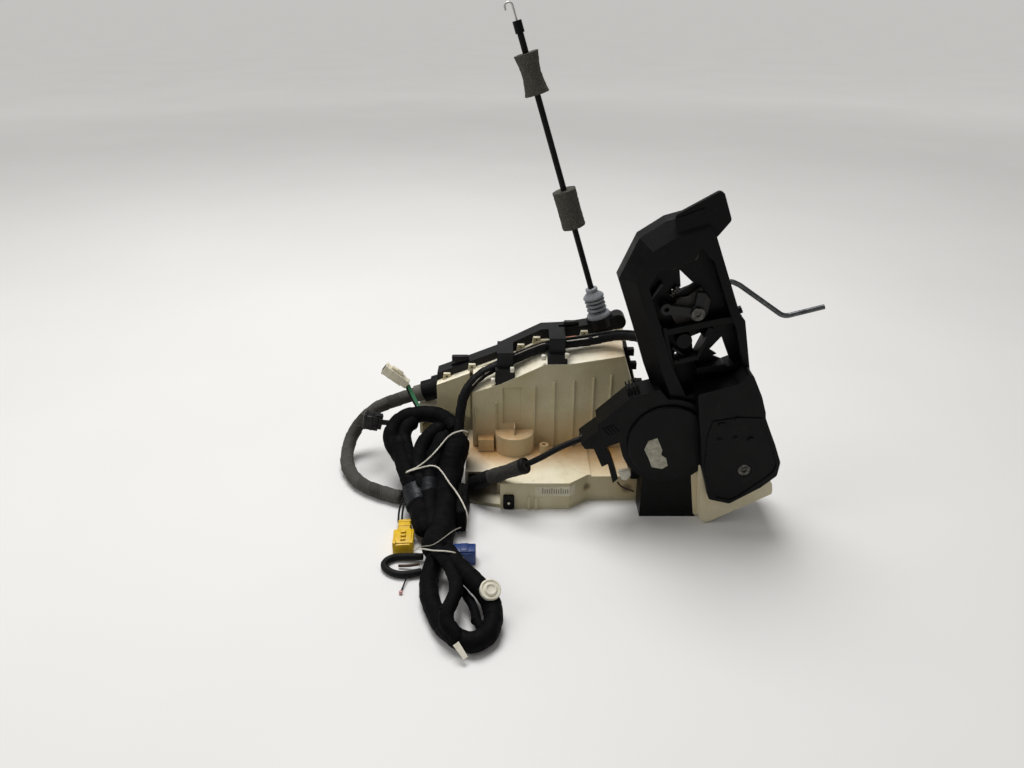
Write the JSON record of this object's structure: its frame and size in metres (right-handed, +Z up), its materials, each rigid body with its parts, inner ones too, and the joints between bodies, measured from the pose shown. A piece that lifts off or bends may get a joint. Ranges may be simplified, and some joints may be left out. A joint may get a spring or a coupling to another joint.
{
  "type": "door latch actuator",
  "caption": "Door latch actuator module: ribbed servo housing, handle carrier with round closing drive, claw latch, Bowden cables and folded wiring harness.",
  "frame": {"origin": "on the underside of the cream housing, below the middle of its ribbed wall", "axes": "+X towards the latch, +Y away from the label face, +Z up"},
  "size_m": [0.3998, 0.2845, 0.3872],
  "materials": {
    "cream_housing": "aged cream moulding with a soft sheen",
    "cream_latch": "aged cream moulding with a soft sheen",
    "black_plastic": "satin black moulding",
    "black_rubber": "matt",
    "grey_rubber": "blue-grey bellows rubber",
    "black_sheath": "smooth cable sheath",
    "foam": "speckled dark foam",
    "black_tape": "cloth harness tape",
    "hose_tape": "grey cloth tape in lapped turns",
    "hose_collar": "grey sleeve end",
    "screw_steel": "zinc plated",
    "rod_steel": "dull plated wire",
    "spring_steel": "blued spring steel",
    "cable_steel": "bright inner cable",
    "pin_steel": "ground pin",
    "plate_steel": "zinc plated sheet",
    "claw_steel": "hardened plate, lightly greased",
    "inner_plastic": "natural acetal",
    "circuit_board": "green board",
    "cream_connector": "cream plug",
    "yellow_plastic": "yellow plug",
    "blue_plastic": "blue plug",
    "ivory_plastic": "ivory grommet"
  },
  "bodies": {
    "module": {"base_plug": "black_plastic", "bell_crank_screw": "screw_steel", "cable_bellows": "grey_rubber", "cable_duct": "black_plastic", "cable_elbow": "black_plastic", "circuit_board": "circuit_board", "closing_conduit": "black_sheath", "closing_foam_sleeve": "foam", "conduit_ferrules": "black_plastic", "connector_black": "black_plastic", "connector_blue": "blue_plastic", "connector_cream": "cream_connector", "connector_yellow": "yellow_plastic", "cover_screw": "screw_steel", "drive_foot": "black_plastic", "drive_housing": "black_plastic", "drive_lid": "black_plastic", "duct_clips": "black_plastic", "duct_hose": "hose_tape", "edge_gasket": "black_rubber", "foam_sleeves": "foam", "handle_carrier": "black_plastic", "harness_cross_strand": "black_tape", "harness_fold": "black_tape", "harness_grommet": "ivory_plastic", "harness_inner_loop": "black_tape", "harness_lower_loop": "black_tape", "harness_side_trunk": "black_tape", "harness_trunk": "black_tape", "harness_upper_loop": "black_tape", "hose_collar": "hose_collar", "hose_port": "black_plastic", "housing_base_cover": "cream_housing", "housing_rear_cover": "cream_housing", "housing_screws": "screw_steel", "housing_shell": "cream_housing", "latch_back_plate": "plate_steel", "latch_cover": "black_plastic", "latch_face_plate": "plate_steel", "latch_housing": "cream_latch", "latch_pins": "pin_steel", "lock_rod_clip": "spring_steel", "pigtail_loop": "black_sheath", "quadrant_axle": "pin_steel", "release_conduit": "black_sheath", "release_lever_pin": "pin_steel", "roof_loom": "black_tape", "trunk_foam_pad": "foam"},
    "servo_piston": {"servo_piston": "inner_plastic", "piston_seal": "black_rubber"},
    "closing_quadrant": {"closing_quadrant": "inner_plastic"},
    "latch_claw": {"latch_claw": "claw_steel"},
    "latch_pawl": {"latch_pawl": "claw_steel"},
    "bell_crank": {"bell_crank": "black_plastic"},
    "lock_rod": {"lock_rod": "rod_steel"},
    "release_wire": {"release_wire": "cable_steel"},
    "release_lever": {"release_lever": "inner_plastic"}
  },
  "joints": [
    {"name": "servo_slide", "type": "slide", "parent": "module", "child": "servo_piston", "axis": [0, 0, 1], "range_m": [0, 0.016]},
    {"name": "quadrant_turn", "type": "hinge", "parent": "module", "child": "closing_quadrant", "pos_m": [0.08336, -0.055, 0.07389], "axis": [0, 1, 0], "range_deg": [0, 36]},
    {"name": "claw_turn", "type": "hinge", "parent": "module", "child": "latch_claw", "pos_m": [0.13548, -0.054, 0.01771], "axis": [0.4848, 0, -0.8746], "range_deg": [0, 65], "stiffness_Nm_per_rad": 0.05},
    {"name": "pawl_turn", "type": "hinge", "parent": "module", "child": "latch_pawl", "pos_m": [0.15997, -0.061, 0.03129], "axis": [-0.4848, 0, 0.8746], "range_deg": [0, 16], "stiffness_Nm_per_rad": 0.05},
    {"name": "crank_turn", "type": "hinge", "parent": "module", "child": "bell_crank", "pos_m": [0.09765, -0.06, 0.17899], "axis": [0, 1, 0], "range_deg": [0, 20], "stiffness_Nm_per_rad": 0.05},
    {"name": "rod_turn", "type": "hinge", "parent": "module", "child": "lock_rod", "pos_m": [0.10348, -0.037, 0.19122], "axis": [0, 1, 0], "range_deg": [-8, 12]},
    {"name": "wire_slide", "type": "slide", "parent": "module", "child": "release_wire", "axis": [-0.294, 0, 0.9558], "range_m": [0, 0.015]},
    {"name": "lever_turn", "type": "hinge", "parent": "module", "child": "release_lever", "pos_m": [0.035, 0.041, 0.09], "axis": [0, 1, 0], "range_deg": [0, 40]}
  ],
  "couplings": [
    {"joint": "quadrant_turn", "follows": "servo_slide", "rad_per_m": 38.462},
    {"joint": "lever_turn", "follows": "wire_slide", "rad_per_m": 45.455}
  ]
}
